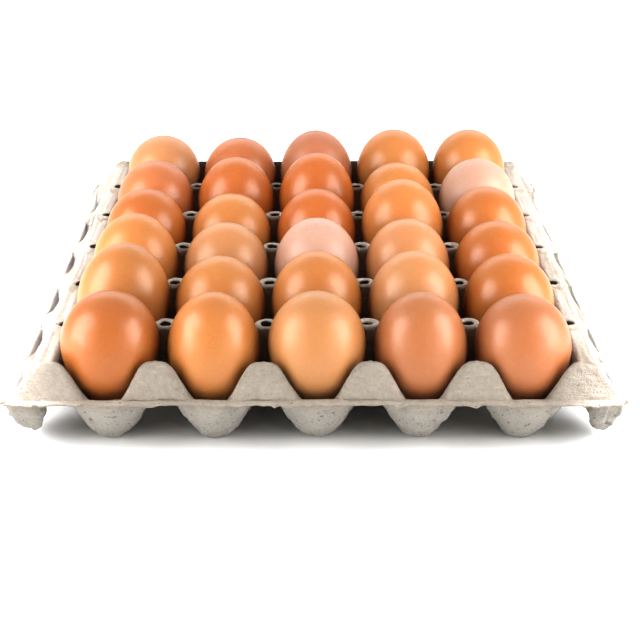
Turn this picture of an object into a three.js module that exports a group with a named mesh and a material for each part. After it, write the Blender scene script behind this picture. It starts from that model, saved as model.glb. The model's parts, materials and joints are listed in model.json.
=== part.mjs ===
// Moulded-pulp egg tray with thirty hens' eggs, five across and six deep.
//
// Millimetres, +Z up. The origin is the centre of the tray on the surface it stands on, the
// five columns run along X and the front row lies toward -Y.
//
// The tray is one thin sheet of pulp. It is laid out as a mid-surface of triangles, cell by
// cell, and then given its thickness on both sides. Each egg is turned from its own profile
// and let down until it rests on the flanks of the four posts round its cup.

import * as THREE from 'three';
import { mergeVertices } from 'three/addons/utils/BufferGeometryUtils.js';

// ---- Driving dimensions -------------------------------------------------------------------

const PITCH = 48;
const COLUMNS = 5;
const ROWS = 6;
const PULP = 2;

const HALF = PITCH / 2;
const SKIN = PULP / 2;

const FOOT_RADIUS = 5.2;
const HEEL_RADIUS = 12;
const HEEL_HEIGHT = 7.4;
const WAIST_RADIUS = 18;
const WAIST_HEIGHT = 19.5;
const WALL_WAIST_EXTRA = 1.7;
const FLANK = [17.2, 7.4];
const FLANK_HEIGHT = 21;
const SEAT = 12.7;
const SEAT_HEIGHT = 24;
const SADDLE_HEIGHT = 28.5;
const SADDLE_LIFT = 0.3;
const SADDLE_END = 8;
const GABLE_SADDLE_END = 5;
const RIM_HEIGHT = 29.8;
const WALL_HEIGHT = 43;
const POST_HEIGHT = 45.2;
const GABLE_HEIGHT = 46.2;
const CRATER_FLOOR = 37;

const POST_RADIUS = 4.7;
const WALL_POST_HEIGHT = 43.7;
const RIDGE_BULGE = 1.3;
const GABLE_SHOULDER = 5.4;
const GABLE_SET_BACK = 4.4;
const LIP_REACH = 27.4;
const LIP_DROP = 0.6;
const SCALLOP_REACH = LIP_REACH - 1.5;
const CREST_DROP = 0.8;
const SHOULDER_HEIGHT = 44.5;
const SCALLOP = 7;

const SIDE_WALL = 127;
const POCKET_AXIS = 133.2;
const SHOULDER_X = 135.6;
const SIDE_RIM = 142.4;
const SIDE_LIP = 144.2;
const SIDE_RIM_HEIGHT = 23.8;
const POCKET_FLOOR = 4;
const POCKET_HALF_WIDTH = 2.4;
const POCKET_HEEL = { inner: 4.2, outer: 8, end: 13.4, height: 11.5, wallHeight: 14 };
const RIM_QUARTER = 11;
const CORNER_ROUND = 1.4;
// The right-hand rim is pressed in a little further than the left.
const RIM_INSET = { '-1': 0.4, 1: 2.4 };

const EGG_RADIUS = 22.5;
const EGG_POINT = 32.4;
const EGG_CROWN = 27;
const EGG_SIDES = 12;
const EGG_BANDS = 6;
const REST_GAP = 0.45;

// Height of each egg's top above the table, front row first and left to right.
const TOPS = [
  [72.1, 71.5, 71.8, 71.5, 70.4],
  [76.4, 69.1, 71.9, 71.9, 70.2],
  [73.0, 68.0, 70.6, 70.0, 68.9],
  [69.4, 66.4, 69.3, 75.0, 70.6],
  [69.5, 71.5, 74.2, 68.2, 70.8],
  [69.7, 68.3, 73.0, 73.6, 73.6],
];

// How far the eggs of each column sit off the middle of their cups.
const NUDGE = [1.2, 0.5, 0, -0.3, -1.4];

// Radius of the front row's eggs; the others are spread round the usual one.
const FRONT_RADII = [22.6, 21.3, 22.5, 21.5, 22.2];

// Shell colours, in the same order as the heights.
const SHELLS = [
  ['copper', 'apricot', 'golden', 'tan', 'tan'],
  ['apricot', 'apricot', 'apricot', 'peach', 'copper'],
  ['apricot', 'peach', 'pink', 'peach', 'copper'],
  ['amber', 'apricot', 'amber', 'apricot', 'copper'],
  ['russet', 'amber', 'amber', 'apricot', 'pink'],
  ['peach', 'russet', 'mauve', 'apricot', 'apricot'],
];

const SHELL_COLOURS = {
  amber: 0xcc6a2e,
  copper: 0xc8722f,
  russet: 0xc97847,
  apricot: 0xd9863f,
  golden: 0xe09a58,
  peach: 0xdf9560,
  tan: 0xcd8150,
  mauve: 0xc4866a,
  pink: 0xe6b49e,
};

const PULP_COLOUR = 0xb3aca2;

// ---- A sheet of triangles that is thickened into a solid ----------------------------------

class Sheet {
  constructor() {
    this.points = [];
    this.level = [];
    this.faces = [];
    this.known = new Map();
  }

  // A point that lies where an earlier one does is the same point. A level point is
  // thickened straight up and down, so that the feet stand flat.
  point(x, y, z, level = false) {
    const key = [x, y].map((value) => Math.round(value * 50)).join(' ');
    if (!this.known.has(key)) {
      this.known.set(key, this.points.length);
      this.points.push(new THREE.Vector3(x, y, z));
      this.level.push(level);
    }
    return this.known.get(key);
  }

  // The sheet never overhangs, so every face is wound to look up.
  face(a, b, c) {
    const [p, q, r] = [a, b, c].map((index) => this.points[index]);
    const turn = (q.x - p.x) * (r.y - p.y) - (q.y - p.y) * (r.x - p.x);
    this.faces.push(turn > 0 ? [a, b, c] : [a, c, b]);
  }

  quad(a, b, c, d) {
    this.face(a, b, c);
    this.face(a, c, d);
  }

  // Joins two closed rings, both running counterclockwise round the centre.
  band(inner, outer, centre) {
    const angle = (index) => {
      const p = this.points[index];
      return Math.atan2(p.y - centre.y, p.x - centre.x);
    };
    const unrolled = (ring) => {
      const angles = ring.map(angle);
      for (let i = 1; i < angles.length; i += 1) {
        while (angles[i] < angles[i - 1] - 1e-6) angles[i] += 2 * Math.PI;
      }
      angles.push(angles[0] + 2 * Math.PI);
      return angles;
    };
    const innerAngles = unrolled(inner);
    const outerAngles = unrolled(outer);
    let i = 0;
    let j = 0;
    while (i < inner.length || j < outer.length) {
      const innerNext = i < inner.length ? innerAngles[i + 1] : Infinity;
      const outerNext = j < outer.length ? outerAngles[j + 1] : Infinity;
      const a = inner[i % inner.length];
      const b = outer[j % outer.length];
      if (innerNext <= outerNext + 1e-4) {
        i += 1;
        this.face(a, b, inner[i % inner.length]);
      } else {
        j += 1;
        this.face(a, b, outer[j % outer.length]);
      }
    }
  }

  normals() {
    const sums = this.points.map(() => new THREE.Vector3());
    for (const face of this.faces) {
      const corners = face.map((index) => this.points[index]);
      for (let k = 0; k < 3; k += 1) {
        const along = corners[(k + 1) % 3].clone().sub(corners[k]).normalize();
        const back = corners[(k + 2) % 3].clone().sub(corners[k]).normalize();
        const normal = along.clone().cross(back).normalize();
        sums[face[k]].addScaledVector(normal, along.angleTo(back));
      }
    }
    const up = new THREE.Vector3(0, 0, 1);
    return sums.map((sum, index) => (this.level[index] ? up : sum.normalize()));
  }

  thicken(skin) {
    const normals = this.normals();
    const count = this.points.length;
    const positions = [];
    for (const side of [skin, -skin]) {
      this.points.forEach((point, index) => {
        positions.push(...point.clone().addScaledVector(normals[index], side).toArray());
      });
    }
    const triangles = [];
    const open = new Map();
    for (const [a, b, c] of this.faces) {
      triangles.push(a, b, c, count + a, count + c, count + b);
      for (const [from, to] of [[a, b], [b, c], [c, a]]) {
        if (!open.delete(`${to} ${from}`)) open.set(`${from} ${to}`, [from, to]);
      }
    }
    for (const [from, to] of open.values()) {
      triangles.push(to, from, count + from, to, count + from, count + to);
    }
    const geometry = new THREE.BufferGeometry();
    geometry.setAttribute('position', new THREE.Float32BufferAttribute(positions, 3));
    geometry.setIndex(triangles);
    geometry.computeVertexNormals();
    return geometry;
  }
}

// ---- The tray -----------------------------------------------------------------------------

// What a post, or the half post that a gable is, measures where it tops out.
function postTop(gable) {
  return {
    crest: gable ? HALF - GABLE_SET_BACK : HALF,
    top: gable ? GABLE_HEIGHT - CREST_DROP : POST_HEIGHT,
    diagonal: POST_RADIUS * 0.66,
    saddleEnd: gable ? GABLE_SADDLE_END : SADDLE_END,
  };
}

// Outer points of one quarter of a cup, from the X axis round to the Y axis. A cup at the
// front or back edge has gables for posts, and one in an outer column has the side wall.
function quarter(gable, wall) {
  const { crest, top, diagonal, saddleEnd } = postTop(gable);
  const saddle = SADDLE_HEIGHT + SADDLE_LIFT;
  return [
    [wall ? HALF + RIDGE_BULGE : HALF, saddleEnd, wall ? WALL_HEIGHT : saddle],
    [HALF, crest - POST_RADIUS, wall ? WALL_POST_HEIGHT : top],
    [HALF - diagonal, crest - diagonal, top],
    gable ? [HALF - GABLE_SHOULDER, crest, SHOULDER_HEIGHT] : [HALF - POST_RADIUS, crest, top],
    gable ? [SCALLOP, SCALLOP_REACH, RIM_HEIGHT + 0.2] : [SADDLE_END, HALF, saddle],
  ];
}

function postCentre(gable) {
  return gable ? [HALF, HALF - GABLE_SET_BACK, GABLE_HEIGHT] : [HALF, HALF, CRATER_FLOOR];
}

// The four quarters in counterclockwise order, each with the sign of its X and Y.
const QUARTERS = [[1, 1], [-1, 1], [-1, -1], [1, -1]];

function cup(sheet, column, row) {
  const x = (column - (COLUMNS - 1) / 2) * PITCH;
  const y = (row - (ROWS - 1) / 2) * PITCH;
  const centre = new THREE.Vector2(x, y);
  const gableOn = { 1: row === ROWS - 1, '-1': row === 0 };
  const wallOn = { 1: column === COLUMNS - 1, '-1': column === 0 };
  const at = ([u, v, z], level) => sheet.point(x + u, y + v, z, level);

  const middle = at([0, 0, SKIN], true);
  const foot = [];
  const heel = [];
  for (let k = 0; k < 8; k += 1) {
    const angle = (k * Math.PI) / 4;
    const [u, v] = [Math.cos(angle), Math.sin(angle)];
    foot.push(at([FOOT_RADIUS * u, FOOT_RADIUS * v, SKIN], true));
    heel.push(at([HEEL_RADIUS * u, HEEL_RADIUS * v, HEEL_HEIGHT]));
  }

  const waist = [];
  const outer = [];
  for (const [su, sv] of QUARTERS) {
    const gable = gableOn[sv];
    const wall = wallOn[su];
    const mirrored = ([u, v, z]) => at([u * su, v * sv, z]);
    const post = quarter(gable, wall).map(mirrored);
    const wide = wall ? WALL_WAIST_EXTRA : 0;
    const side = mirrored([FLANK[0] + wide * 0.7, FLANK[1], FLANK_HEIGHT]);
    const seat = mirrored([SEAT, SEAT, SEAT_HEIGHT]);
    const end = mirrored([FLANK[1], FLANK[0], FLANK_HEIGHT]);
    const onX = at([su * (WAIST_RADIUS + wide), 0, WAIST_HEIGHT]);
    const onY = at([0, sv * WAIST_RADIUS, WAIST_HEIGHT]);
    const middleX = wall
      ? at([su * (HALF + RIDGE_BULGE), 0, WALL_HEIGHT])
      : at([su * HALF, 0, SADDLE_HEIGHT]);
    const middleY = gable
      ? at([0, sv * SCALLOP_REACH, RIM_HEIGHT])
      : at([0, sv * HALF, SADDLE_HEIGHT]);
    if (su * sv > 0) {
      waist.push(onX, side, seat, end);
      outer.push(middleX, ...post);
    } else {
      waist.push(onY, end, seat, side);
      outer.push(middleY, ...post.reverse());
    }
    const crown = quarter(gable, wall).map(mirrored);
    const peak = mirrored(postCentre(gable));
    sheet.quad(peak, crown[1], crown[2], crown[3]);
    if (gable) edge(sheet, mirrored, crown, peak, middleY);
  }

  for (let k = 0; k < 8; k += 1) sheet.face(middle, foot[k], foot[(k + 1) % 8]);
  sheet.band(foot, heel, centre);
  sheet.band(heel, waist, centre);
  sheet.band(waist, outer, centre);
}

// Half of a gable's outer face, with the lip along its foot.
function edge(sheet, mirrored, crown, peak, middle) {
  const base = mirrored([HALF, HALF, RIM_HEIGHT + 0.4]);
  const lip = [0, SCALLOP, HALF].map((u) => mirrored([u, LIP_REACH, RIM_HEIGHT - LIP_DROP]));
  sheet.face(crown[4], crown[3], base);
  sheet.face(crown[3], peak, base);
  sheet.quad(middle, crown[4], lip[1], lip[0]);
  sheet.quad(crown[4], base, lip[2], lip[1]);
}

// The side wall of one row, with the half cup outside it and the rim round that.
function sidePocket(sheet, hand, row) {
  const y = (row - (ROWS - 1) / 2) * PITCH;
  const centre = new THREE.Vector2(hand * POCKET_AXIS, y);
  const wallX = ((COLUMNS - 1) / 2) * PITCH;
  const gableOn = { 1: row === ROWS - 1, '-1': row === 0 };
  const at = (x, v, z, level) => sheet.point(hand * x, y + v, z, level);
  const rimX = SIDE_RIM - RIM_INSET[hand];
  const lipX = SIDE_LIP - RIM_INSET[hand];
  const shoulderX = SHOULDER_X - RIM_INSET[hand];

  const ends = {};
  for (const end of [-1, 1]) {
    const gable = gableOn[end];
    const inner = quarter(gable, true).map(([u, v, z]) => at(wallX + u, end * v, z));
    const { crest, top, diagonal, saddleEnd } = postTop(gable);
    const peak = at(wallX + HALF, end * crest, postCentre(gable)[2]);
    const turn = at(wallX + HALF + diagonal, end * (crest - diagonal), top);
    const across = at(wallX + HALF + POST_RADIUS, end * crest, top);
    const wallEnd = at(SIDE_WALL, end * crest, WALL_HEIGHT - 0.4);
    const wallPost = at(SIDE_WALL, end * (crest - POST_RADIUS), WALL_HEIGHT);
    const wallSaddle = at(SIDE_WALL, end * saddleEnd, WALL_HEIGHT);
    const wallMiddle = at(SIDE_WALL, 0, WALL_HEIGHT);
    const ridgeMiddle = at(wallX + HALF + RIDGE_BULGE, 0, WALL_HEIGHT);
    sheet.quad(peak, inner[1], turn, across);
    sheet.quad(wallPost, wallEnd, turn, inner[1]);
    sheet.face(turn, wallEnd, across);
    sheet.quad(inner[0], inner[1], wallPost, wallSaddle);
    sheet.quad(ridgeMiddle, inner[0], wallSaddle, wallMiddle);

    const reach = gable ? SCALLOP_REACH : HALF;
    const lift = gable ? RIM_HEIGHT : SIDE_RIM_HEIGHT + 0.4;
    const shoulder = at(shoulderX, end * reach, gable ? RIM_HEIGHT : SADDLE_HEIGHT - 0.5);
    const cornerReach = gable ? SCALLOP_REACH - 1.3 : HALF;
    const corner = at(rimX - (gable ? CORNER_ROUND : 0), end * cornerReach, lift - 0.4);
    const quarterRim = at(rimX, end * RIM_QUARTER, SIDE_RIM_HEIGHT);
    const rimMiddle = at(rimX, 0, SIDE_RIM_HEIGHT);
    const lipMiddle = at(lipX, 0, SIDE_RIM_HEIGHT - 0.3);
    const lipQuarter = at(lipX, end * RIM_QUARTER, SIDE_RIM_HEIGHT - 0.3);
    const lipReach = gable ? cornerReach + 0.6 : HALF;
    const lipCorner = at(lipX - (gable ? 1 : 0), end * lipReach, lift - 0.7);
    sheet.quad(rimMiddle, quarterRim, lipQuarter, lipMiddle);
    sheet.quad(quarterRim, corner, lipCorner, lipQuarter);
    if (gable) {
      const base = at(wallX + HALF, end * HALF, RIM_HEIGHT + 0.4);
      const lipBase = at(wallX + HALF, end * LIP_REACH, RIM_HEIGHT - LIP_DROP);
      const lipShoulder = at(shoulderX, end * LIP_REACH, RIM_HEIGHT - LIP_DROP);
      const lipTurn = at(rimX - 0.9, end * (LIP_REACH - 0.4), RIM_HEIGHT - LIP_DROP);
      sheet.face(peak, across, base);
      sheet.face(across, wallEnd, base);
      sheet.face(wallEnd, shoulder, base);
      sheet.quad(base, shoulder, lipShoulder, lipBase);
      sheet.quad(shoulder, corner, lipTurn, lipShoulder);
      sheet.face(corner, lipCorner, lipTurn);
    }
    ends[end] = { wallEnd, wallPost, wallSaddle, shoulder, corner, quarterRim };
    ends.wallMiddle = wallMiddle;
    ends.rimMiddle = rimMiddle;
  }

  const foot = [];
  const heel = [];
  for (let k = 0; k < 8; k += 1) {
    const angle = (k * Math.PI) / 4;
    const [u, v] = [Math.cos(angle), Math.sin(angle)];
    foot.push(at(POCKET_AXIS + POCKET_HALF_WIDTH * u, FOOT_RADIUS * v, POCKET_FLOOR, true));
    const width = u > 0 ? POCKET_HEEL.outer - RIM_INSET[hand] : POCKET_HEEL.inner;
    const height = u < -0.1 ? POCKET_HEEL.wallHeight : POCKET_HEEL.height;
    heel.push(at(POCKET_AXIS + width * u, POCKET_HEEL.end * v, height));
  }
  const rim = [
    ends.rimMiddle, ends[1].quarterRim, ends[1].corner, ends[1].shoulder, ends[1].wallEnd,
    ends[1].wallPost, ends[1].wallSaddle, ends.wallMiddle, ends[-1].wallSaddle,
    ends[-1].wallPost, ends[-1].wallEnd, ends[-1].shoulder, ends[-1].corner,
    ends[-1].quarterRim,
  ];
  const rings = [foot, heel, rim].map((ring) => (hand > 0 ? ring : [...ring].reverse()));
  for (let k = 1; k < 7; k += 1) sheet.face(foot[0], foot[k], foot[k + 1]);
  sheet.band(rings[0], rings[1], centre);
  sheet.band(rings[1], rings[2], centre);
}

function buildTray() {
  const sheet = new Sheet();
  for (let row = 0; row < ROWS; row += 1) {
    for (let column = 0; column < COLUMNS; column += 1) cup(sheet, column, row);
    sidePocket(sheet, 1, row);
    sidePocket(sheet, -1, row);
  }
  const mesh = new THREE.Mesh(
    sheet.thicken(SKIN),
    new THREE.MeshStandardMaterial({ color: PULP_COLOUR, roughness: 0.95, metalness: 0 }),
  );
  mesh.name = 'tray';
  return mesh;
}

// ---- The eggs -----------------------------------------------------------------------------

// A repeatable spread of numbers from 0 to 1, one for each egg and purpose.
function scatter(index, purpose) {
  const value = Math.sin(index * 12.9898 + purpose * 78.233) * 43758.5453;
  return value - Math.floor(value);
}

// Blunt end up: the shell is widest at its own zero height. Its point settles where the egg
// comes to rest, and its crown is then as tall as its top needs.
function eggProfile(radius, crown, point) {
  const profile = [];
  for (let k = 0; k <= EGG_BANDS; k += 1) {
    const angle = -Math.PI / 2 + (k * Math.PI) / EGG_BANDS;
    const height = Math.sin(angle) * (angle < 0 ? point : crown);
    const taper = angle < 0 ? 1 + 0.05 * Math.sin(angle) : 1;
    profile.push(new THREE.Vector2(radius * Math.cos(angle) * taper, height));
  }
  profile[0].x = 0;
  profile[EGG_BANDS].x = 0;
  return profile;
}

function buildEgg(column, row, crown) {
  const index = row * COLUMNS + column;
  const extra = TOPS[row][column] - 71;
  const radius = row === 0
    ? FRONT_RADII[column]
    : EGG_RADIUS - 0.15 + 0.07 * extra + 0.3 * (scatter(index, 1) - 0.5);
  const point = EGG_POINT + 0.3 * extra;
  const turned = new THREE.LatheGeometry(eggProfile(radius, crown, point), EGG_SIDES);
  turned.rotateX(Math.PI / 2);
  turned.deleteAttribute('uv');
  turned.deleteAttribute('normal');
  const geometry = mergeVertices(turned, 1e-3);
  geometry.computeVertexNormals();

  const shell = SHELLS[row][column];
  const mesh = new THREE.Mesh(
    geometry,
    new THREE.MeshStandardMaterial({
      color: SHELL_COLOURS[shell], roughness: 0.42, metalness: 0,
    }),
  );
  mesh.name = `egg_r${row + 1}_c${column + 1}`;
  const x = (column - (COLUMNS - 1) / 2) * PITCH + NUDGE[column];
  const y = (row - (ROWS - 1) / 2) * PITCH;
  const lean = THREE.MathUtils.degToRad(1);
  mesh.rotation.set(
    lean * 5 * (scatter(index, 2) - 0.5),
    lean * (-0.03 * x + 4 * (scatter(index, 3) - 0.5)),
    0,
  );
  mesh.position.set(x, y, 0);
  return mesh;
}

// A mesh's triangles where they stand, each with what clearHeight needs to know of it.
function surfaceOf(mesh) {
  mesh.updateMatrixWorld(true);
  const position = mesh.geometry.getAttribute('position');
  const index = mesh.geometry.getIndex();
  const corner = (k) => {
    return new THREE.Vector3().fromBufferAttribute(position, index.getX(k))
      .applyMatrix4(mesh.matrixWorld);
  };
  const surface = [];
  for (let k = 0; k < index.count; k += 3) {
    const [a, b, c] = [corner(k), corner(k + 1), corner(k + 2)];
    const box = new THREE.Box3().setFromPoints([a, b, c]);
    const normal = b.clone().sub(a).cross(c.clone().sub(a));
    if (Math.abs(normal.z) < 1e-9) continue;
    const lift = (REST_GAP * normal.length()) / Math.abs(normal.z);
    surface.push({ a, b, c, box, area: normal.z, lift });
  }
  return surface;
}

// Height over one point of the table that stays the rest gap clear of a surface, above it
// (side 1) or below it (side -1), or null beside the surface.
function clearHeight(surface, x, y, side) {
  let found = null;
  for (const { a, b, c, box, area, lift } of surface) {
    if (x < box.min.x || x > box.max.x || y < box.min.y || y > box.max.y) continue;
    const s = ((x - a.x) * (c.y - a.y) - (y - a.y) * (c.x - a.x)) / area;
    const t = ((b.x - a.x) * (y - a.y) - (b.y - a.y) * (x - a.x)) / area;
    if (s < 0 || t < 0 || s + t > 1) continue;
    const clear = a.z + s * (b.z - a.z) + t * (c.z - a.z) + side * lift;
    if (found === null || side * clear > side * found) found = clear;
  }
  return found;
}

// Evenly spread points of a triangle, its corners and edges included.
function spread({ a, b, c }) {
  const steps = 5;
  const points = [];
  for (let i = 0; i <= steps; i += 1) {
    for (let j = 0; j <= steps - i; j += 1) {
      const point = a.clone().multiplyScalar(steps - i - j);
      points.push(point.addScaledVector(b, i).addScaledVector(c, j).divideScalar(steps));
    }
  }
  return points;
}

// Lets an egg down until its shell, or an edge of the pulp, is the rest gap away.
function settle(egg, pulp) {
  const { x, y } = egg.position;
  const near = pulp.filter(({ box }) => {
    return Math.abs(box.min.x - x) < HALF + 9 && Math.abs(box.min.y - y) < HALF + 9;
  });
  const shell = surfaceOf(egg);
  let drop = Infinity;
  for (const p of shell.flatMap(spread)) {
    const ground = clearHeight(near, p.x, p.y, 1);
    if (ground !== null) drop = Math.min(drop, p.z - ground);
  }
  for (const p of near.flatMap(spread)) {
    const under = clearHeight(shell, p.x, p.y, -1);
    if (under !== null) drop = Math.min(drop, under - p.z);
  }
  egg.position.z = -drop;
}

// ---- The whole ----------------------------------------------------------------------------

const group = new THREE.Group();
group.name = 'egg_tray';
const tray = buildTray();
group.add(tray);

const pulp = surfaceOf(tray);
for (let row = 0; row < ROWS; row += 1) {
  for (let column = 0; column < COLUMNS; column += 1) {
    const trial = buildEgg(column, row, EGG_CROWN);
    settle(trial, pulp);
    const height = trial.position.z;
    const egg = buildEgg(column, row, TOPS[row][column] - height);
    egg.position.z = height;
    group.add(egg);
  }
}

export default group;
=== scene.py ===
"""Looks for the moulded-pulp egg tray with its thirty eggs."""

import json
import math

import bpy
import numpy as np
from mathutils import Matrix, Vector


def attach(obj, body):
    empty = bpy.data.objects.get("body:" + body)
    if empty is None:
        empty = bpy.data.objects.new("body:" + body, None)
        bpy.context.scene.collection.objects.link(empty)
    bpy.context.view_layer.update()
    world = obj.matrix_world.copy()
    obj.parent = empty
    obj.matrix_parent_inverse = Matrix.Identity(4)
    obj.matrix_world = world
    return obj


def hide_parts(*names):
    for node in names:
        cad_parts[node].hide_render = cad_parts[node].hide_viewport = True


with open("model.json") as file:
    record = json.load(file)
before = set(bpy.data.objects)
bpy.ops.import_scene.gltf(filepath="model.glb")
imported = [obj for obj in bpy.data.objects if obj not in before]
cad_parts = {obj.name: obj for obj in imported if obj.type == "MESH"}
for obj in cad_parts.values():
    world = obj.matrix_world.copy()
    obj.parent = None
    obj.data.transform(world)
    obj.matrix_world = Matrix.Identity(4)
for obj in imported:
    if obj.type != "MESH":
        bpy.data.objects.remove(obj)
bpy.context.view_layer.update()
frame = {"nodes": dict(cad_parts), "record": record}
MM = 0.001

# ---- Sizes of the tray, in millimetres, close to those in the part's source ---------------

PITCH = 48.0
HALF = PITCH / 2.0
SKIN = 0.95
# The outermost cups, and the outermost posts and gables.
CUP_END_X, CUP_END_Y = 2.0 * PITCH, 2.5 * PITCH
POST_END_X, POST_END_Y = 2.5 * PITCH, 2.0 * PITCH

RIM = 29.9
SIDE_RIM = 23.8
CORNER_RIM = RIM - 0.6
LIP_X = 143.6
LIP_Y = 147.1
CORNER = 9.0
# The side rims are pressed in from INSET_FROM outward, the right one further than the left.
RIM_INSET_LEFT = 0.4
RIM_INSET_RIGHT = 2.4
INSET_FROM = 134.0
INSET_RUN = 8.4

# Heights against radius: from a cup's axis, from a post's axis, and from a gable's crest.
CUP = [(0, 1.0), (4.6, 1.0), (7.0, 2.3), (11.2, 7.6), (14.6, 13.4), (18.1, 20.0),
       (22.4, 26.3), (24.0, 27.8), (28.0, 28.6), (60, 29.0)]
CRATER = [(0, 32.0), (1.9, 32.6), (2.6, 38.5), (3.0, 44.2), (3.8, 45.5), (5.0, 45.2), (60, 45.2)]
GABLE = [(0, 46.5), (4.0, 46.3), (6.3, 44.6), (8.4, 41.1), (11.0, 36.0), (13.9, 30.6),
         (15.6, 28.2), (19.6, 22.8), (26.0, 11.0), (60, -60.0)]
# Height against distance along the tray's side from the middle of a side pocket.
POCKET = [(0, 4.0), (4.2, 4.0), (8.6, 7.4), (12.4, 12.6), (16.6, 19.5), (21.0, 28.6),
          (24, 38.0), (26, 45.0)]
# Heights against distance from the tray's middle: over the ridge and down into a side pocket,
# up the pocket's outer wall, and over the saddle between two pockets.
RIDGE_TOP = [(0, 43.6), (121.0, 43.6), (122.4, 42.6), (124.4, 42.4), (125.6, 43.4), (126.7, 43.6),
             (127.5, 40.0), (128.3, 24.0), (129.7, 14.0), (133.4, 3.6), (134.6, 0.0), (200, 0.0)]
OUTER_WALL = [(0, 4.0), (134.6, 4.0), (137.6, 6.2), (140.0, 11.5), (141.6, 18.5), (142.3, 26.0),
              (142.7, 40.0), (200, 60.0)]
SADDLE = [(0, 43.0), (127.0, 42.0), (131.0, 35.0), (135.4, 28.2), (142.4, 24.0), (200, 23.0)]

# A post's flank starts at SHOULDER from its axis, falls steeply and then less so. The first
# slope is straight out from the post, and the second is what a diagonal adds to it.
CRATER_REACH = 5.0
SHOULDER = 4.4
SHOULDER_TOP, SHOULDER_SLOPE = 45.8, (2.6, -0.6)
FLANK_TOP, FLANK_SLOPE = 43.2, (1.46, 0.42)

# A gable is squeezed from front to back, and falls faster on its diagonals.
CREST_Y = 139.6
GABLE_SQUEEZE = 1.9
GABLE_DIAGONAL = 0.78

# The inner face of the side wall, the start of the craters on the ridge along it, and the line
# where the ridge becomes the side pockets.
WALL_FOOT_X, WALL_FOOT_Z, WALL_SLOPE = 115.0, 19.5, 5.6
RIDGE_HOLES_FROM = 108.0
SIDE_WALL = 127.2

# At the corners the saddle climbs to the rim, and a wedge runs from the ridge to the face.
CORNER_CLIMB = [(128.0, 0.0), (132.0, SIDE_RIM), (144.0, CORNER_RIM)]
WEDGE_X, WEDGE_TOP, WEDGE_SLOPE = 125.5, 44.2, 1.15
WEDGE_FROM_Y, WEDGE_RUN = 126.0, 10.0
FLAT_RIM_X = 139.0
FLAT_RIM = [(131.0, SIDE_RIM), (144.6, CORNER_RIM)]

# The front and back faces, and the rim at their feet.
FACE_FOOT_Y, FACE_FOOT_Z, FACE_SLOPE = 144.1, 30.4, 3.6
RIM_Y, RIM_SLOPE, RIM_FROM_Y = 143.9, 3.2, 138.0

# The edges are torn from here outward, and the crests of the corners are craggy.
TEAR_FROM_X, TEAR_RUN_X = 142.9, 1.3
TEAR_FROM_Y, TEAR_RUN_Y = 145.6, 1.8
CRAG_FROM_X, CRAG_FROM_Y, CRAG_ABOVE = 112.0, 130.0, 41.0
# The mould's unevenness moves the sheet sideways only inside these distances.
WOBBLE_TO_X, WOBBLE_TO_Y = 126.0, 136.0
# Underneath, the feet are crumpled, and the corner pockets are fuller on their inner side.
FEET_BELOW = 27.0
HEEL = 2.6
HEEL_FROM_X, HEEL_TO_X, HEEL_FROM_Y, HEEL_BELOW = 126.5, 133.0, 120.0, 28.0
THINNEST = 0.3

# How far each pair of surfaces runs into each other where they meet.
FILLET = {
    "crater": 0.8, "post": 2.4, "gable": 2.0, "ridge_top": 1.6, "ridge": 1.6, "ridge_hole": 0.6,
    "pocket_wall": 2.0, "pocket_ridge": 1.5, "saddle": 1.2, "face": 1.1, "rim": 1.5,
}


def straight(value, points):
    """Straight stretches through a list of (place, height)."""
    return np.interp(value, [p[0] for p in points], [p[1] for p in points])


def table(points, soften):
    """A smooth curve through a list of (place, height), as a function."""
    step, margin = 0.05, 6.0
    xs = np.arange(points[0][0] - margin, points[-1][0] + margin, step)
    ys = straight(xs, points)
    width = max(1, int(round(soften / step)))
    kernel = np.ones(width) / width
    kernel = np.convolve(kernel, kernel)
    pad = len(kernel)
    padded = np.pad(ys, pad, mode="edge")
    ys = np.convolve(padded, kernel, mode="same")[pad:-pad]
    return lambda x: np.interp(x, xs, ys)


cup_curve = table(CUP, 1.6)
crater_curve = table(CRATER, 0.5)
gable_curve = table(GABLE, 1.6)
pocket_curve = table(POCKET, 1.6)
ridge_curve = table(RIDGE_TOP, 0.5)
wall_curve = table(OUTER_WALL, 0.5)
saddle_curve = table(SADDLE, 1.5)


def smax(a, b, k):
    """The higher of two surfaces, with a fillet about k wide where they cross."""
    h = np.clip(0.5 + 0.5 * (a - b) / k, 0.0, 1.0)
    return b + (a - b) * h + k * h * (1.0 - h)


def smin(a, b, k):
    """The lower of two surfaces, with a rounding about k wide where they cross."""
    return -smax(-a, -b, k)


def rise(value, start, run):
    """0 up to start, then up to 1 over the length of run."""
    return np.clip((value - start) / run, 0.0, 1.0)


def fall(value, end, run):
    """1 at first, then down to 0 at end over the length of run."""
    return np.clip((end - value) / run, 0.0, 1.0)


# ---- Repeatable noise ---------------------------------------------------------------------

LATTICE_SIZE = 64
lattice = np.random.default_rng(7).random((LATTICE_SIZE,) * 3).astype(np.float32)


def noise(x, y, z, size, seed):
    """Smooth noise from -1 to 1 with bumps about as wide as size."""
    parts = []
    for value, shift in ((x, 11.3), (y, 5.7), (z, 23.1)):
        place = np.asarray(value, float) / size + shift * (seed + 1)
        cell = np.floor(place).astype(int)
        part = place - cell
        parts.append((cell, part * part * (3.0 - 2.0 * part)))
    (ix, fx), (iy, fy), (iz, fz) = parts
    out = 0.0
    for dx in (0, 1):
        for dy in (0, 1):
            for dz in (0, 1):
                weight = (fx if dx else 1 - fx) * (fy if dy else 1 - fy) * (fz if dz else 1 - fz)
                corner = tuple((i + d) % LATTICE_SIZE for i, d in ((ix, dx), (iy, dy), (iz, dz)))
                out = out + weight * lattice[corner]
    return 2.0 * out - 1.0


def flat_noise(x, y, size, seed):
    """Noise that doesn't depend on height."""
    return noise(x, y, 0 * x, size, seed)


# ---- The tray's surface -------------------------------------------------------------------

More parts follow.
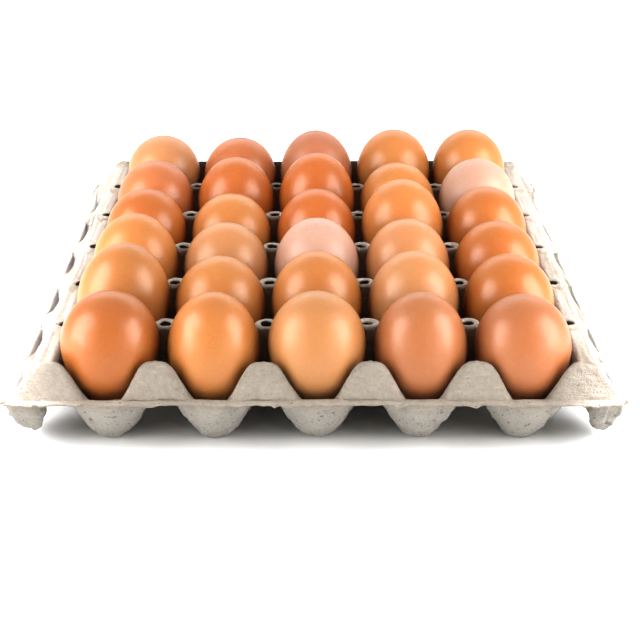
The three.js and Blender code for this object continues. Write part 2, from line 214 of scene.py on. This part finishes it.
def nearest(value, end):
    """Distance to the nearest of the lines that lie a pitch apart from -end to end."""
    line = np.clip(np.round((value + end) / PITCH) * PITCH - end, -end, end)
    return value - line


def diagonal(across, along):
    """1 on the diagonals round an axis, and 0 straight across and straight along."""
    return np.sin(2.0 * np.arctan2(along, across)) ** 2


def inner_height(x, y):
    """The cups, the posts between them, the gables and the ridges along the sides."""
    ax, ay = np.abs(x), np.abs(y)
    cup = cup_curve(np.hypot(nearest(x, CUP_END_X), nearest(y, CUP_END_Y)))

    across, along = nearest(x, POST_END_X), nearest(y, POST_END_Y)
    reach = np.hypot(across, along)
    skew = diagonal(across, along)
    crater = crater_curve(reach)
    shoulder = SHOULDER_TOP - (SHOULDER_SLOPE[0] + SHOULDER_SLOPE[1] * skew) * (reach - SHOULDER)
    flank = FLANK_TOP - (FLANK_SLOPE[0] + FLANK_SLOPE[1] * skew) * (reach - SHOULDER)
    cone = smin(np.maximum(shoulder, flank), crater, FILLET["crater"])
    post = np.where(reach < CRATER_REACH, crater, cone)
    z = smax(cup, post, FILLET["post"])

    behind = np.minimum(0.0, ay - CREST_Y)
    from_crest = np.hypot(across, GABLE_SQUEEZE * behind)
    gable = gable_curve(from_crest * (1.0 + GABLE_DIAGONAL * diagonal(across, behind)))
    z = smax(z, gable, FILLET["gable"])

    wall = WALL_FOOT_Z + (ax - WALL_FOOT_X) * WALL_SLOPE
    ridge = smin(wall, ridge_curve(ax), FILLET["ridge_top"])
    z = smax(z, ridge, FILLET["ridge"])
    on_ridge = (ax > RIDGE_HOLES_FROM) & (reach < CRATER_REACH)
    return np.where(on_ridge, smin(z, crater, FILLET["ridge_hole"]), z)


def pocket_height(x, y):
    """The half cups outside the ridges, with the saddles between them and the side rims."""
    ax, ay = np.abs(x), np.abs(y)
    # The end of a corner pocket climbs to the crest of the front or back face.
    along = np.abs(nearest(y, CUP_END_Y))
    along = np.where(ay > CUP_END_Y, along * HALF / (CREST_Y - CUP_END_Y), along)
    z = smax(pocket_curve(along), wall_curve(ax), FILLET["pocket_wall"])
    z = smax(z, ridge_curve(ax), FILLET["pocket_ridge"])

    corner = straight(ay, CORNER_CLIMB)
    wedge = (WEDGE_TOP - WEDGE_SLOPE * (ax - WEDGE_X)) * rise(ay, WEDGE_FROM_Y, WEDGE_RUN)
    saddle = np.maximum(np.maximum(saddle_curve(ax), corner), wedge)
    flat_rim = np.maximum(straight(ay, FLAT_RIM), saddle_curve(ax) - 0.2)
    return smin(z, np.where(ax > FLAT_RIM_X, flat_rim, saddle), FILLET["saddle"])


def height(x, y):
    """Height of the middle of the pulp sheet, before its unevenness and the side rims' insets."""
    ay = np.abs(y)
    z = np.where(np.abs(x) > SIDE_WALL, pocket_height(x, y), inner_height(x, y))
    face = FACE_FOOT_Z + (FACE_FOOT_Y - ay) * FACE_SLOPE
    z = smin(z, face, FILLET["face"])
    rim = RIM - RIM_SLOPE * np.maximum(0.0, RIM_Y - ay)
    return np.where(ay > RIM_FROM_Y, smax(z, rim, FILLET["rim"]), z)


def lines(breaks):
    """Grid lines from (place, spacing to the next place) pairs."""
    out = []
    for (a, step), (b, _) in zip(breaks, breaks[1:]):
        count = max(1, int(round((b - a) / step)))
        out.extend(a + (b - a) * np.arange(count) / count)
    out.append(breaks[-1][0])
    return np.array(out)


def mirrored(half):
    """Lines on both sides of the middle, from those at and above 0."""
    return np.concatenate([-half[:0:-1], half])


def tray_grid():
    """Lines across and along the tray, closer where the posts, ridges and lips need them."""
    fine, coarse, around_post = 0.5, 1.5, 5.4
    xs = [(0.0, coarse)]
    for post in (HALF, HALF + PITCH):
        xs += [(post - around_post, fine), (post + around_post, coarse)]
    xs += [(113.0, 0.6), (126.0, 0.36), (131.2, 0.9), (139.6, 0.38), (143.2, 0.34), (LIP_X, 1)]
    ys = [(0.0, fine), (around_post, coarse)]
    for post in (PITCH, 2.0 * PITCH):
        ys += [(post - around_post, fine), (post + around_post, coarse)]
    ys += [(122.0, 1.0), (138.6, 0.42), (144.6, 0.5), (146.6, 0.27), (LIP_Y, 1)]
    return mirrored(lines(xs)), mirrored(lines(ys))


def uneven_height(x, y, lip):
    """Height of the sheet's middle, uneven. lip, from 0 to 1, is how far out on the torn edge."""
    ax, ay = np.abs(x), np.abs(y)
    # The slow unevenness moves the sheet before its height is read.
    wob_x = 0.45 * flat_noise(x, y, 26.0, 1) + 0.22 * flat_noise(x, y, 9.0, 2)
    wob_y = 0.45 * flat_noise(x, y, 26.0, 3) + 0.22 * flat_noise(x, y, 9.0, 4)
    z = height(x + wob_x * (ax < WOBBLE_TO_X), y + wob_y * (ay < WOBBLE_TO_Y))
    z = z + 0.35 * noise(x, y, z, 34.0, 5) + 0.16 * noise(x, y, z, 7.0, 6)

    # The lip sags a little and is torn uneven along its edge.
    torn = flat_noise(x, y, 5.0, 8) + 0.7 * flat_noise(x, y, 2.1, 9)
    sag = 0.9 + 0.8 * flat_noise(x, y, 17.0, 13)
    z = z - lip * lip * (sag + 1.7 * np.clip(torn + 0.05, 0.0, 2.0))

    crag = rise(ax, CRAG_FROM_X, 4.0) * rise(ay, CRAG_FROM_Y, 6.0) * (z > CRAG_ABOVE)
    return z + crag * 0.5 * flat_noise(x, y, 3.2, 12)


def real_places(x, y, near_x, near_y):
    """Where grid places really lie: side rims pressed in, corners round, edges ragged."""
    ax, ay = np.abs(x), np.abs(y)
    inset = np.where(x < 0, RIM_INSET_LEFT, RIM_INSET_RIGHT)
    pressed = INSET_FROM + (ax - INSET_FROM) * (INSET_RUN - inset) / INSET_RUN
    px = np.where(ax > INSET_FROM, pressed, ax) * np.sign(x)

    cx = rise(ax, LIP_X - CORNER, CORNER)
    cy = rise(ay, LIP_Y - CORNER, CORNER)
    length = np.hypot(cx, cy)
    shrink = np.where(length > 0, np.maximum(cx, cy) / np.maximum(length, 1e-9), 1.0)
    ragged = 0.35 * flat_noise(x, y, 11.0, 10) + 0.28 * flat_noise(x, y, 2.6, 11) - 0.35
    px = px - np.sign(x) * CORNER * cx * (1.0 - shrink) + np.sign(x) * near_x * ragged
    py = y - np.sign(y) * CORNER * cy * (1.0 - shrink) + np.sign(y) * near_y * ragged
    return px, py


def half_thickness(x, y, mid, lip, seed, under):
    """Distance from the middle of the sheet to one of its faces. under is 1 on the lower one."""
    px, py, z = np.moveaxis(mid, -1, 0)
    grain = 0.16 * noise(px, py, z, 4.2, seed) + 0.12 * noise(px, py, z, 1.9, seed + 1)
    lumps = 0.2 * noise(px, py, z, 14.0, seed + 2)

    # The feet are crumpled: ridges where these two noises cross 0, and hollows between them.
    foot = fall(z, FEET_BELOW, 8.0) * under
    hollows = 2.4 * np.abs(noise(px, py, z, 5.2, seed + 3))
    dents = 0.8 * np.abs(noise(px, py, z, 2.4, seed + 4))
    relief = grain + lumps + foot * (0.7 - hollows - dents)
    thick = SKIN - 0.35 * lip + relief * np.maximum(rise(z, -3.0, 8.0), 0.35)

    ax, ay = np.abs(x), np.abs(y)
    heel = fall(z, HEEL_BELOW, 6.0) * rise(z, 3.0, 8.0) * rise(ay, HEEL_FROM_Y, 6.0)
    heel = heel * (ax > HEEL_FROM_X) * (ax < HEEL_TO_X)
    return np.maximum(thick, THINNEST) + HEEL * heel * under


def build_tray():
    """One closed sheet: an upper face, a lower face and the torn edge between them."""
    x, y = np.meshgrid(*tray_grid(), indexing="ij")
    near_x = rise(np.abs(x), TEAR_FROM_X, TEAR_RUN_X)
    near_y = rise(np.abs(y), TEAR_FROM_Y, TEAR_RUN_Y)
    lip = np.maximum(near_y, near_x)
    mid = np.stack([*real_places(x, y, near_x, near_y), uneven_height(x, y, lip)], axis=-1)
    normal = np.cross(np.gradient(mid, axis=0), np.gradient(mid, axis=1))
    normal /= np.linalg.norm(normal, axis=-1, keepdims=True)

    sides = []
    for way, seed, under in ((1.0, 20, 0.0), (-1.0, 30, 1.0)):
        thick = half_thickness(x, y, mid, lip, seed, under)
        points = mid + way * normal * thick[..., None]
        points[..., 2] = np.maximum(points[..., 2], 0.0)
        sides.append(points.reshape(-1, 3))

    index = np.arange(x.size).reshape(x.shape)
    a, b = index[:-1, :-1].ravel(), index[1:, :-1].ravel()
    c, d = index[1:, 1:].ravel(), index[:-1, 1:].ravel()
    top = np.stack([a, b, c, d], axis=1)
    bottom = top[:, ::-1] + x.size
    ring = np.concatenate([index[:-1, 0], index[-1, :-1], index[:0:-1, -1], index[0, :0:-1]])
    after = np.roll(ring, -1)
    edge = np.stack([after, ring, ring + x.size, after + x.size], axis=1)
    return quad_object("pulp_tray", np.concatenate(sides) * MM, np.concatenate([top, bottom, edge]))


# ---- Meshes -------------------------------------------------------------------------------

def new_object(name, data):
    obj = bpy.data.objects.new(name, data)
    bpy.context.scene.collection.objects.link(obj)
    return obj


def shade_smooth(mesh):
    mesh.polygons.foreach_set("use_smooth", np.ones(len(mesh.polygons), bool))


def quad_object(name, points, quads):
    """A smooth object of a great many four-sided faces, which from_pydata would be slow on."""
    mesh = bpy.data.meshes.new(name)
    mesh.vertices.add(len(points))
    mesh.vertices.foreach_set("co", np.asarray(points, np.float32).ravel())
    mesh.loops.add(quads.size)
    mesh.loops.foreach_set("vertex_index", quads.astype(np.int32).ravel())
    mesh.polygons.add(len(quads))
    mesh.polygons.foreach_set("loop_start", np.arange(0, quads.size, 4, dtype=np.int32))
    mesh.update(calc_edges=True)
    mesh.validate()
    shade_smooth(mesh)
    return new_object(name, mesh)


def small_object(name, points, faces):
    """A smooth object of a few faces with any number of sides."""
    mesh = bpy.data.meshes.new(name)
    mesh.from_pydata(points, [], faces)
    mesh.update()
    shade_smooth(mesh)
    return new_object(name, mesh)


# ---- Materials ----------------------------------------------------------------------------

def linear(code):
    """A hex colour as linear red, green and blue."""
    values = [((code >> shift) & 255) / 255.0 for shift in (16, 8, 0)]
    return tuple(v / 12.92 if v <= 0.04045 else ((v + 0.055) / 1.055) ** 2.4 for v in values)


def tinted(colour, tint):
    """A colour with its red, green and blue each taken times a factor."""
    return tuple(min(1.0, v * t) for v, t in zip(colour, tint))


def scaled(colour, factor):
    return tinted(colour, (factor,) * 3)


class Nodes:
    """A short way to write a material's node tree. Places are in metres from the origin."""

    def __init__(self, name):
        self.material = bpy.data.materials.new(name)
        self.material.use_nodes = True
        self.tree = self.material.node_tree
        self.shader = self.tree.nodes["Principled BSDF"]
        self.place = self.add("ShaderNodeTexCoord").outputs["Object"]

    def add(self, kind, **settings):
        node = self.tree.nodes.new(kind)
        for key, value in settings.items():
            setattr(node, key, value)
        return node

    def link(self, source, target):
        self.tree.links.new(source, target)

    def feed(self, socket, value):
        """Give a socket a number, a colour or a link."""
        if isinstance(value, (int, float)):
            socket.default_value = value
        elif isinstance(value, tuple):
            socket.default_value = (*value, 1.0)
        else:
            self.link(value, socket)

    def shade(self, **inputs):
        """Set the shader's inputs, with _ for each space in their names."""
        for key, value in inputs.items():
            self.feed(self.shader.inputs[key.replace("_", " ")], value)

    def axes(self):
        """The place's x, y and z."""
        node = self.add("ShaderNodeSeparateXYZ")
        self.link(self.place, node.inputs["Vector"])
        return [node.outputs[axis] for axis in "XYZ"]

    def moved(self, **inputs):
        """The place after a mapping with these settings."""
        node = self.add("ShaderNodeMapping")
        for key, value in inputs.items():
            node.inputs[key].default_value = value
        self.link(self.place, node.inputs["Vector"])
        return node.outputs["Vector"]

    def noise(self, per_metre, detail=3.0, rough=0.55, place=None):
        node = self.add("ShaderNodeTexNoise")
        node.inputs["Scale"].default_value = per_metre
        node.inputs["Detail"].default_value = detail
        node.inputs["Roughness"].default_value = rough
        self.link(place or self.place, node.inputs["Vector"])
        return node.outputs["Fac"]

    def spots(self, per_metre, place, size, share):
        """Spots in some of the cells. size is a ramp of the distance from a cell's middle, and
        share is the span of a cell's random value over which it comes to have a spot."""
        node = self.add("ShaderNodeTexVoronoi")
        node.inputs["Scale"].default_value = per_metre
        self.link(place, node.inputs["Vector"])
        inside = self.ramp(node.outputs["Distance"], *size)
        chosen = self.ramp(node.outputs["Color"], share)
        return self.math("MULTIPLY", inside, chosen)

    def ramp(self, source, span, to=(0.0, 1.0)):
        """A value that goes from to[0] to to[1] while its source goes through the span."""
        node = self.add("ShaderNodeMapRange")
        node.inputs["From Min"].default_value = span[0]
        node.inputs["From Max"].default_value = span[1]
        node.inputs["To Min"].default_value = to[0]
        node.inputs["To Max"].default_value = to[1]
        self.link(source, node.inputs["Value"])
        return node.outputs["Result"]

    def math(self, operation, *values):
        node = self.add("ShaderNodeMath", operation=operation)
        for socket, value in zip(node.inputs, values):
            self.feed(socket, value)
        return node.outputs["Value"]

    def length(self, a, b):
        squares = [self.math("POWER", value, 2.0) for value in (a, b)]
        return self.math("SQRT", self.math("ADD", *squares))

    def mix(self, factor, a, b):
        node = self.add("ShaderNodeMix", data_type="RGBA")
        first, second = [s for s in node.inputs if s.type == "RGBA"]
        for socket, value in ((node.inputs["Factor"], factor), (first, a), (second, b)):
            self.feed(socket, value)
        return next(s for s in node.outputs if s.type == "RGBA")

    def bump(self, relief, distance, strength=1.0, before=None):
        node = self.add("ShaderNodeBump")
        node.inputs["Distance"].default_value = distance
        node.inputs["Strength"].default_value = strength
        self.link(relief, node.inputs["Height"])
        if before:
            self.link(before, node.inputs["Normal"])
        return node.outputs["Normal"]


# The pulp's own colour and those of what lies on it or in it, and painted light and shade: paler
# feet, pale tops of the post rings, dark post holes and small dark spots for pits.
PULP = 0x938b81
# Painted light: the feet round the edge are made paler and greyer.
FEET_PAINTED_LIGHT = 0xb6b1aa
PULP_MOTTLE = 0xa8a196
# Painted shade: small dark spots for the shade in tiny pits.
PIT_PAINTED_SHADE = 0x6b655c
PULP_HAIRS = 0xb4aea4
PULP_SPECKS = 0x453f37
PULP_FLECKS = 0x5f5850
# Painted light: the pale tops of the rings on the inner posts.
RING_PAINTED_LIGHT = 0xcfc9bf
# Painted shade: the dark inside the holes in the posts.
HOLE_PAINTED_SHADE = 0x1e1712


def edge_feet(n):
    """1 on the feet of the cups round the tray's edge."""
    x, y, z = n.axes()
    edge = (98.0 * MM, 104.0 * MM)
    out_x = n.ramp(n.math("ABSOLUTE", x), edge)
    out_y = n.ramp(n.math("ABSOLUTE", y), edge)
    low = n.ramp(z, (19.0 * MM, 27.0 * MM), (1.0, 0.0))
    return n.math("MULTIPLY", low, n.math("MAXIMUM", out_x, out_y))


def post_tops(n):
    """How far a place is in the rings on top of the inner posts, which get painted light, and in the
    posts' holes, which get painted shade.
    """
    x, y, z = n.axes()
    half = HALF * MM
    across = n.math("SUBTRACT", half, n.math("PINGPONG", x, half))
    along = n.math("PINGPONG", y, half)
    reach = n.length(across, along)
    in_x = n.math("LESS_THAN", n.math("ABSOLUTE", x), 100.0 * MM)
    in_y = n.math("LESS_THAN", n.math("ABSOLUTE", y), 110.0 * MM)
    # The painted light lies on the highest part of each ring only.
    high = n.ramp(z, (44.4 * MM, 45.6 * MM), (0.0, 0.7))
    ring = n.ramp(reach, (5.6 * MM, 6.2 * MM), (1.0, 0.0))
    ring = n.math("MULTIPLY", ring, n.math("MULTIPLY", in_x, in_y))
    # Painted shade: the holes in the posts are painted dark.
    hole = n.ramp(reach, (2.5 * MM, 3.0 * MM), (1.0, 0.0))
    return n.math("MULTIPLY", high, ring), n.math("MULTIPLY", hole, in_y)


def pulp_material():
    n = Nodes("moulded_pulp")
    base = linear(PULP)
    # feet carries the painted light on the feet round the edge, and also their flecks and crumples.
    feet = edge_feet(n)
    ring, hole = post_tops(n)
    cloud = n.ramp(n.noise(55.0, 4.0), (0.3, 0.7))
    mottle = n.ramp(n.noise(420.0, 4.0, 0.65), (0.35, 0.75), (0.0, 0.5))
    # Painted shade: small dark spots stand for the shade in tiny pits.
    pit_shade = n.ramp(n.noise(900.0, 3.0, 0.7), (0.28, 0.42), (0.55, 0.0))
    drawn_out = n.moved(Scale=(0.12, 1.0, 1.0), Rotation=(0.5, 0.3, 0.9))
    fibres = n.noise(700.0, 2.0, 0.6, drawn_out)
    hairs = n.ramp(fibres, (0.66, 0.74), (0.0, 0.35))
    specks = n.spots(260.0, n.place, ((0.07, 0.12), (0.75, 0.0)), (0.66, 0.68))
    flecks = n.ramp(n.noise(360.0, 4.0, 0.75), (0.33, 0.41), (0.8, 0.0))

    # Painted light and shade: the feet round the edge are painted paler and greyer than the faces
    # above the lip. The torn rings on the inner posts are painted pale as light on their tops, and
    # the holes in all the posts are painted dark as deep shade.
    colour = n.mix(cloud, scaled(base, 0.9), scaled(base, 1.06))
    for share, code in (
            (feet, FEET_PAINTED_LIGHT), (mottle, PULP_MOTTLE), (pit_shade, PIT_PAINTED_SHADE), (hairs, PULP_HAIRS),
            (specks, PULP_SPECKS), (n.math("MULTIPLY", flecks, feet), PULP_FLECKS),
            (ring, RING_PAINTED_LIGHT), (hole, HOLE_PAINTED_SHADE)):
        colour = n.mix(share, colour, linear(code))

    relief = n.bump(n.noise(230.0, 5.0, 0.65), 1.2 * MM)
    relief = n.bump(fibres, 0.5 * MM, 0.9, relief)
    relief = n.bump(n.noise(1500.0, 3.0, 0.7), 0.25 * MM, 0.9, relief)
    crumple = n.math("MULTIPLY", n.noise(150.0, 6.0, 0.7), feet)
    relief = n.bump(crumple, 4.0 * MM, 1.0, relief)
    roughness = n.ramp(mottle, (0.0, 0.5), (0.97, 0.88))
    n.shade(Base_Color=colour, Roughness=roughness, Specular_IOR_Level=0.25, Normal=relief)
    return n.material


def shell_material(name, base, blush, freckles, shift, dullness):
    """An eggshell: base colour, colour of its clouds, share of freckles, a shift that gives it
    freckles of its own, and how dull it is."""
    n = Nodes(name)
    clouds = n.ramp(n.noise(38.0, 3.0), (0.34, 0.68))
    fine = n.ramp(n.noise(560.0, 5.0, 0.62), (0.35, 0.72), (0.0, 0.32))
    pale = n.ramp(n.noise(1500.0, 2.0, 0.5), (0.6, 0.78), (0.0, 0.16))
    colour = n.mix(clouds, scaled(base, 0.95), blush)
    colour = n.mix(fine, colour, scaled(base, 0.78))
    colour = n.mix(pale, colour, scaled(base, 1.35))
    if freckles > 0:
        place = n.moved(Location=(shift, 0.7 * shift, 0.0))
        share = (0.62 - 0.2 * freckles, 0.66)
        spots = n.spots(430.0, place, ((0.05, 0.17), (0.5, 0.0)), share)
        colour = n.mix(spots, colour, scaled(base, 0.45))
    pores = n.bump(n.noise(900.0, 3.0, 0.6), 0.06 * MM, 0.8)
    pores = n.bump(n.noise(160.0, 3.0, 0.5), 0.18 * MM, 0.7, pores)
    roughness = n.ramp(fine, (0.0, 0.32), (dullness - 0.06, dullness + 0.04))
    n.shade(Base_Color=colour, Roughness=roughness, Specular_IOR_Level=0.45, Normal=pores)
    n.shader.inputs["Subsurface Weight"].default_value = 0.12
    n.shader.inputs["Subsurface Radius"].default_value = (1.0, 0.4, 0.2)
    n.shader.inputs["Subsurface Scale"].default_value = 2.0 * MM
    return n.material


# ---- The eggs -----------------------------------------------------------------------------

# Shade of shell: base colour, colour of its clouds, share of freckles, dullness.
SHADES = {
    "amber": (0xba733a, 0xb06a36, 0.7, 0.36),
    "copper": (0xba7a41, 0xb4723c, 0.2, 0.36),
    "russet": (0xbb7b4f, 0xb4734a, 0.6, 0.38),
    "apricot": (0xc18751, 0xbd7f49, 0.2, 0.38),
    "golden": (0xb78759, 0xb38050, 0.0, 0.42),
    "peach": (0xc29066, 0xbd885c, 0.4, 0.40),
    "tan": (0xb07850, 0xaa714a, 0.5, 0.40),
    "mauve": (0xb57d5e, 0xae7558, 0.4, 0.44),
    "pink": (0xc3a392, 0xc09a88, 0.1, 0.46),
}

# How light each egg is for its shade, front row first and left to right: partly each egg's own
# tone, and partly painted shade that darkens the front two rows, most of all at the left.
TONE_AND_PAINTED_SHADE = [
    (0.77, 0.83, 0.94, 0.91, 0.92),
    (0.83, 0.88, 0.84, 0.92, 0.95),
    (0.92, 0.91, 0.92, 0.95, 0.95),
    (0.93, 0.93, 0.94, 0.95, 0.94),
    (0.94, 0.94, 0.93, 0.94, 0.97),
    (0.94, 0.92, 0.92, 0.94, 0.94),
]

TINT = 0.04
FRECKLE_SHIFT = 13.0 * MM
EGG_AROUND = 72
EGG_BANDS = 44
# The crowns stay a little lower than the CAD eggs', so that the rounded tops stay in their box.
CROWN_DROP = 0.12 * MM
POINT_TAPER = 0.05
SWELL = 0.004


def egg_axis(node):
    """Middle, up direction, widest radius, and lengths up to the crown and down to the point."""
    points = np.array([v.co for v in node.data.vertices], float)
    high = points[points[:, 2].argmax()]
    low = points[points[:, 2].argmin()]
    up = (high - low) / np.linalg.norm(high - low)
    along = (points - low) @ up
    away = np.linalg.norm(points - low - along[:, None] * up, axis=1)
    widest = away > away.max() - 1e-5
    middle = along[widest].mean()
    return low + up * middle, up, away.max(), np.linalg.norm(high - low) - middle, middle


def egg_faces():
    """Bands of four-sided faces, and a fan at the point and at the crown."""
    faces = []
    around = [(step, (step + 1) % EGG_AROUND) for step in range(EGG_AROUND)]
    last = (EGG_BANDS - 2) * EGG_AROUND
    for low in range(0, last, EGG_AROUND):
        high = low + EGG_AROUND
        faces += [(low + step, low + after, high + after, high + step) for step, after in around]
    point = last + EGG_AROUND
    for step, after in around:
        faces.append((point, after, step))
        faces.append((point + 1, last + step, last + after))
    return faces


def build_egg(name, node, index):
    centre, up, radius, crown, point = egg_axis(node)
    crown -= CROWN_DROP
    angle = np.linspace(-math.pi / 2, math.pi / 2, EGG_BANDS + 1)[1:-1]
    tall = np.sin(angle) * np.where(angle < 0, point, crown)
    wide = radius * np.cos(angle) * np.where(angle < 0, 1 + POINT_TAPER * np.sin(angle), 1.0)
    turn = np.arange(EGG_AROUND) * 2 * math.pi / EGG_AROUND
    x = wide[:, None] * np.cos(turn)[None]
    y = wide[:, None] * np.sin(turn)[None]
    z = np.repeat(tall[:, None], EGG_AROUND, axis=1)
    # No hen's egg is quite round: a slow unevenness of a tenth of a millimetre or less.
    swell = 1.0 + SWELL * noise(x / MM, y / MM, z / MM, 22.0, 40 + index)
    points = np.stack([x * swell, y * swell, z], axis=-1).reshape(-1, 3)
    points = np.vstack([points, [[0, 0, -point], [0, 0, crown]]])

    side = np.cross([0.0, 1.0, 0.0], up)
    side /= np.linalg.norm(side)
    back = np.cross(up, side)
    points = centre + points @ np.stack([side, back, up])
    return small_object(name, points.tolist(), egg_faces())


def dress_eggs():
    slots = {s["node"]: s["material_slot"] for s in frame["record"]["subparts"]}
    names = sorted(name for name in slots if name.startswith("egg"))
    rng = np.random.default_rng(31)
    for index, node_name in enumerate(names):
        row, column = (int(part[1:]) - 1 for part in node_name.split("_")[1:])
        slot = slots[node_name]
        base_code, blush_code, freckles, dullness = SHADES[slot.replace("shell_", "")]
        # Each egg's own tone, with painted shade on the front rows.
        value = TONE_AND_PAINTED_SHADE[row][column]
        tint = [value * (1.0 + TINT * (rng.random() - 0.5)) for _ in range(3)]
        base, blush = tinted(linear(base_code), tint), tinted(linear(blush_code), tint)
        shift = FRECKLE_SHIFT * (index + 1)
        material = shell_material("shell_" + node_name, base, blush, freckles, shift, dullness)
        egg = build_egg(node_name.replace("egg", "shell"), frame["nodes"][node_name], index)
        egg.data.materials.append(material)
        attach(egg, "root")
        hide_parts(node_name)


# ---- Floor, light and camera --------------------------------------------------------------

EXPOSURE = 0.75
GAMMA = 0.72
WHITE = (1.0, 1.0, 1.0)
EDGE_LIGHT = (0.93, 0.93, 1.0)

FLOOR_SIZE = 12.0
FLOOR_DROP = 0.2 * MM
FLOOR_GREY = (0.94, 0.94, 0.94)
# The floor's glow, which is painted light, starts at these distances from the middle and is full
# GLOW_RUN further out. The weaker glow near the tray is a painted shadow.
GLOW = 0.62
GLOW_X, GLOW_Y, GLOW_RUN = 0.11, 0.122, 0.12
AMBIENT = 0.01

SIDE_WATTS = 5.7
EDGE_WATTS = 0.11
TOP_WATTS = 0.8
FRONT_WATTS = 1.98
BACK_WATTS = 7.0

# The camera, fitted to the photo: its place in metres, its lens and its turns.
PICTURE_WIDTH = 640.0
FOCAL_PIXELS = 1317.48
SENSOR_WIDTH = 36.0
CAMERA_PLACE = (-0.000686, -0.661273, 0.31703)
TILT = math.radians(25.496)
YAW = -0.0038517
ROLL = -0.0011229


def build_floor():
    """A floor that glows a little as painted light, but not under the tray, which leaves a painted
    shadow round it.
    """
    s = FLOOR_SIZE / 2
    corners = [(-s, -s), (s, -s), (s, s), (-s, s)]
    floor = small_object("floor", [(x, y, -FLOOR_DROP) for x, y in corners], [(0, 1, 2, 3)])
    n = Nodes("pale_floor")
    x, y, _ = n.axes()
    beside, before = (
        n.math("MAXIMUM", n.math("SUBTRACT", n.math("ABSOLUTE", axis), start), 0.0)
        for axis, start in ((x, GLOW_X), (y, GLOW_Y)))
    # Painted light and painted shadow: the glow grows with distance from the tray.
    glow = n.ramp(n.length(beside, before), (0.0, GLOW_RUN), (0.0, GLOW))
    n.shade(Base_Color=FLOOR_GREY, Roughness=0.9, Specular_IOR_Level=0.1)
    n.shade(Emission_Color=WHITE, Emission_Strength=glow)
    floor.data.materials.append(n.material)


def build_room():
    """A white room, seen and mirrored at full strength, that gives only a little light."""
    world = bpy.data.worlds.new("studio")
    bpy.context.scene.world = world
    world.use_nodes = True
    nodes, links = world.node_tree.nodes, world.node_tree.links
    back = nodes["Background"]
    back.inputs["Color"].default_value = (*WHITE, 1.0)
    path = nodes.new("ShaderNodeLightPath")
    either = nodes.new("ShaderNodeMath")
    either.operation = "MAXIMUM"
    links.new(path.outputs["Is Camera Ray"], either.inputs[0])
    links.new(path.outputs["Is Glossy Ray"], either.inputs[1])
    strength = nodes.new("ShaderNodeMapRange")
    strength.inputs["To Min"].default_value = AMBIENT
    strength.inputs["To Max"].default_value = 1.0
    links.new(either.outputs["Value"], strength.inputs["Value"])
    links.new(strength.outputs["Result"], back.inputs["Strength"])


def softbox(name, place, aim, width, tall, watts):
    light = bpy.data.lights.new(name, "AREA")
    light.shape = "RECTANGLE"
    light.size = width
    light.size_y = tall
    light.energy = watts
    obj = new_object(name, light)
    turn = (Vector(aim) - Vector(place)).to_track_quat("-Z", "Y")
    obj.matrix_world = Matrix.Translation(place) @ turn.to_matrix().to_4x4()
    return obj


def build_lights(tray):
    """Softboxes round the tray, and a narrow strip over each side border for the pulp alone."""
    aim = (0.0, 0.0, 0.03)
    pulp_only = bpy.data.collections.new("pulp_only")
    pulp_only.objects.link(tray)
    for hand, side in ((-1, "left"), (1, "right")):
        softbox(side + "_softbox", (hand * 0.6, -0.24, 0.34), aim, 0.5, 0.6, SIDE_WATTS)
        softbox(side + "_front", (hand * 0.95, -0.95, 0.3), (0.0, -0.15, 0.0), 0.9, 0.3, FRONT_WATTS)
        border = (hand * 0.136, -0.02, 0.03)
        strip = softbox(side + "_strip", (hand * 0.2, -0.02, 0.5), border, 0.34, 0.02, EDGE_WATTS)
        strip.data.spread = math.radians(6)
        strip.data.color = EDGE_LIGHT
        strip.light_linking.receiver_collection = pulp_only
    softbox("top_softbox", (0.0, 0.1, 1.5), aim, 1.6, 1.6, TOP_WATTS)
    softbox("back_softbox", (0.0, 1.15, 0.75), (0.0, 1.0, 0.0), 1.8, 1.0, BACK_WATTS)


def build_camera():
    data = bpy.data.cameras.new("camera")
    data.sensor_width = SENSOR_WIDTH
    data.lens = SENSOR_WIDTH * FOCAL_PIXELS / PICTURE_WIDTH
    data.clip_start = 0.02
    data.clip_end = 30.0
    z = Vector((0.0, 0.0, 1.0))
    right = Vector((math.cos(YAW), math.sin(YAW), 0.0))
    level = Vector((-math.sin(YAW), math.cos(YAW), 0.0))
    forward = level * math.cos(TILT) - z * math.sin(TILT)
    up = level * math.sin(TILT) + z * math.cos(TILT)
    across = right * math.cos(ROLL) - up * math.sin(ROLL)
    over = right * math.sin(ROLL) + up * math.cos(ROLL)
    camera = new_object("camera", data)
    turn = Matrix((across, over, -forward)).transposed().to_4x4()
    camera.matrix_world = Matrix.Translation(CAMERA_PLACE) @ turn
    bpy.context.scene.camera = camera


# ---- The whole ----------------------------------------------------------------------------

tray = build_tray()
tray.data.materials.append(pulp_material())
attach(tray, "root")
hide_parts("tray")
dress_eggs()
build_floor()
build_room()
build_lights(tray)
build_camera()
view = bpy.context.scene.view_settings
view.view_transform = "Standard"
view.exposure = EXPOSURE
view.gamma = GAMMA
